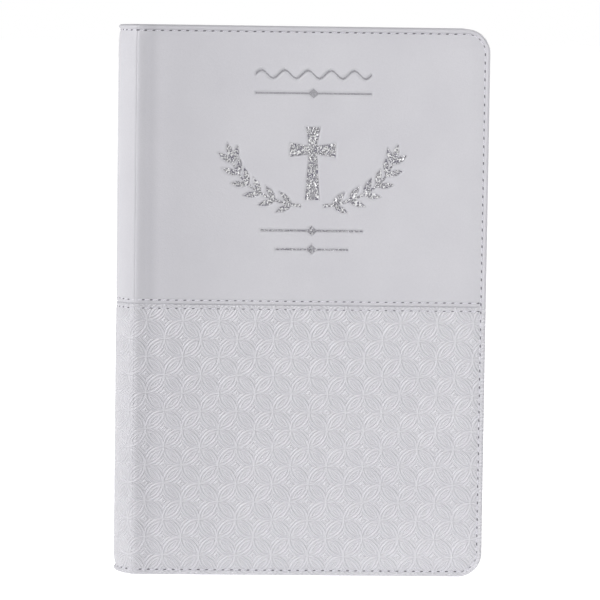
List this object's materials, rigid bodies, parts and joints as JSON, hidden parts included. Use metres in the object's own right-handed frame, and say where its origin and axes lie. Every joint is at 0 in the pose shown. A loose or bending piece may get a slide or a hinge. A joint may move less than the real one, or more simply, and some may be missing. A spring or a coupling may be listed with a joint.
{
  "type": "bible",
  "caption": "Thick book standing closed in a flexible stitched two-panel cover with a rounded spine; the covers hinge open and the page sections fan out with them.",
  "frame": {"origin": "middle of the footprint, on the surface that the tail edges stand on", "axes": "+Z from tail to head, front cover towards -Y, spine at -X, fore-edge at +X"},
  "size_m": [0.138, 0.027, 0.205],
  "materials": {
    "smooth_leather": "soft satin imitation leather, fine grain",
    "embossed_leather": "soft satin imitation leather, embossed all over",
    "lining_sheet": "matte imitation suede",
    "grey_board": "raw grey board",
    "sewing_thread": "twisted thread, slight sheen",
    "silver_foil": "stamped silver foil, mottled",
    "grey_foil": "stamped grey pigment foil",
    "end_paper": "smooth uncoated endpaper",
    "bible_paper": "thin bible paper",
    "binding_glue": "dried bookbinding adhesive on paper folds",
    "spine_cloth": "open-weave mull",
    "band_cloth": "woven silk-faced band"
  },
  "bodies": {
    "root": {"upper_panel_spine": "smooth_leather", "lower_panel_spine": "embossed_leather", "spine_card": "grey_board", "lining_spine": "lining_sheet", "edge_stitching_spine_head": "sewing_thread", "seam_stitching_upper_spine": "sewing_thread", "seam_stitching_lower_spine": "sewing_thread", "edge_stitching_spine_tail": "sewing_thread", "glued_folds": "binding_glue", "sewing_chain_1": "sewing_thread", "sewing_chain_2": "sewing_thread", "sewing_chain_3": "sewing_thread", "sewing_chain_4": "sewing_thread", "mull": "spine_cloth", "spine_paper": "end_paper", "headband": "band_cloth", "tailband": "band_cloth", "section_06": "bible_paper", "section_07": "bible_paper"},
    "front_cover": {"upper_panel_front": "smooth_leather", "lower_panel_front": "embossed_leather", "edge_stitching_front": "sewing_thread", "seam_stitching_upper_front": "sewing_thread", "seam_stitching_lower_front": "sewing_thread", "board_front": "grey_board", "lining_front": "lining_sheet", "pastedown_front": "end_paper", "foil_wave": "grey_foil", "foil_upper_rule": "grey_foil", "foil_cross": "silver_foil", "foil_branch_left": "silver_foil", "foil_branch_right": "silver_foil", "foil_lower_rule_long": "silver_foil", "foil_lower_rule_short": "silver_foil"},
    "back_cover": {"upper_panel_back": "smooth_leather", "lower_panel_back": "embossed_leather", "edge_stitching_back": "sewing_thread", "seam_stitching_upper_back": "sewing_thread", "seam_stitching_lower_back": "sewing_thread", "board_back": "grey_board", "lining_back": "lining_sheet", "pastedown_back": "end_paper"},
    "front_flyleaf": {"front_flyleaf": "end_paper"},
    "presentation_leaf": {"presentation_leaf": "end_paper"},
    "section_01": {"section_01": "bible_paper"},
    "section_02": {"section_02": "bible_paper"},
    "section_03": {"section_03": "bible_paper"},
    "section_04": {"section_04": "bible_paper"},
    "section_05": {"section_05": "bible_paper"},
    "back_flyleaf": {"back_flyleaf": "end_paper"},
    "section_12": {"section_12": "bible_paper"},
    "section_11": {"section_11": "bible_paper"},
    "section_10": {"section_10": "bible_paper"},
    "section_09": {"section_09": "bible_paper"},
    "section_08": {"section_08": "bible_paper"}
  },
  "joints": [
    {"name": "front_cover_hinge", "type": "hinge", "parent": "root", "child": "front_cover", "pos_m": [-0.06185, -0.0136, 0.1025], "axis": [0, 0, -1], "range_deg": [0, 180]},
    {"name": "back_cover_hinge", "type": "hinge", "parent": "root", "child": "back_cover", "pos_m": [-0.06185, 0.0136, 0.1025], "axis": [0, 0, 1], "range_deg": [0, 180]},
    {"name": "front_flyleaf_turn", "type": "hinge", "parent": "root", "child": "front_flyleaf", "pos_m": [-0.0575, -0.0103, 0.1025], "axis": [0, 0, -1], "range_deg": [0, 112.01]},
    {"name": "presentation_leaf_turn", "type": "hinge", "parent": "root", "child": "presentation_leaf", "pos_m": [-0.0575, -0.00995, 0.1025], "axis": [0, 0, -1], "range_deg": [0, 96.01]},
    {"name": "section_01_turn", "type": "hinge", "parent": "root", "child": "section_01", "pos_m": [-0.0575, -0.0096, 0.1025], "axis": [0, 0, -1], "range_deg": [0, 80.01]},
    {"name": "section_02_turn", "type": "hinge", "parent": "root", "child": "section_02", "pos_m": [-0.0575, -0.00796, 0.1025], "axis": [0, 0, -1], "range_deg": [0, 62.01]},
    {"name": "section_03_turn", "type": "hinge", "parent": "root", "child": "section_03", "pos_m": [-0.0575, -0.00632, 0.1025], "axis": [0, 0, -1], "range_deg": [0, 45.01]},
    {"name": "section_04_turn", "type": "hinge", "parent": "root", "child": "section_04", "pos_m": [-0.0575, -0.00469, 0.1025], "axis": [0, 0, -1], "range_deg": [0, 30.01]},
    {"name": "section_05_turn", "type": "hinge", "parent": "root", "child": "section_05", "pos_m": [-0.0575, -0.00305, 0.1025], "axis": [0, 0, -1], "range_deg": [0, 15.01]},
    {"name": "back_flyleaf_turn", "type": "hinge", "parent": "root", "child": "back_flyleaf", "pos_m": [-0.0575, 0.0103, 0.1025], "axis": [0, 0, 1], "range_deg": [0, 112.01]},
    {"name": "section_12_turn", "type": "hinge", "parent": "root", "child": "section_12", "pos_m": [-0.0575, 0.00995, 0.1025], "axis": [0, 0, 1], "range_deg": [0, 80.01]},
    {"name": "section_11_turn", "type": "hinge", "parent": "root", "child": "section_11", "pos_m": [-0.0575, 0.00831, 0.1025], "axis": [0, 0, 1], "range_deg": [0, 62.01]},
    {"name": "section_10_turn", "type": "hinge", "parent": "root", "child": "section_10", "pos_m": [-0.0575, 0.00668, 0.1025], "axis": [0, 0, 1], "range_deg": [0, 45.01]},
    {"name": "section_09_turn", "type": "hinge", "parent": "root", "child": "section_09", "pos_m": [-0.0575, 0.00504, 0.1025], "axis": [0, 0, 1], "range_deg": [0, 30.01]},
    {"name": "section_08_turn", "type": "hinge", "parent": "root", "child": "section_08", "pos_m": [-0.0575, 0.0034, 0.1025], "axis": [0, 0, 1], "range_deg": [0, 15.01]}
  ],
  "couplings": [
    {"joint": "front_flyleaf_turn", "follows": "front_cover_hinge", "ratio": 0.62222},
    {"joint": "presentation_leaf_turn", "follows": "front_cover_hinge", "ratio": 0.53333},
    {"joint": "section_01_turn", "follows": "front_cover_hinge", "ratio": 0.44444},
    {"joint": "section_02_turn", "follows": "front_cover_hinge", "ratio": 0.34444},
    {"joint": "section_03_turn", "follows": "front_cover_hinge", "ratio": 0.25},
    {"joint": "section_04_turn", "follows": "front_cover_hinge", "ratio": 0.16667},
    {"joint": "section_05_turn", "follows": "front_cover_hinge", "ratio": 0.083333},
    {"joint": "back_flyleaf_turn", "follows": "back_cover_hinge", "ratio": 0.62222},
    {"joint": "section_12_turn", "follows": "back_cover_hinge", "ratio": 0.44444},
    {"joint": "section_11_turn", "follows": "back_cover_hinge", "ratio": 0.34444},
    {"joint": "section_10_turn", "follows": "back_cover_hinge", "ratio": 0.25},
    {"joint": "section_09_turn", "follows": "back_cover_hinge", "ratio": 0.16667},
    {"joint": "section_08_turn", "follows": "back_cover_hinge", "ratio": 0.083333}
  ]
}
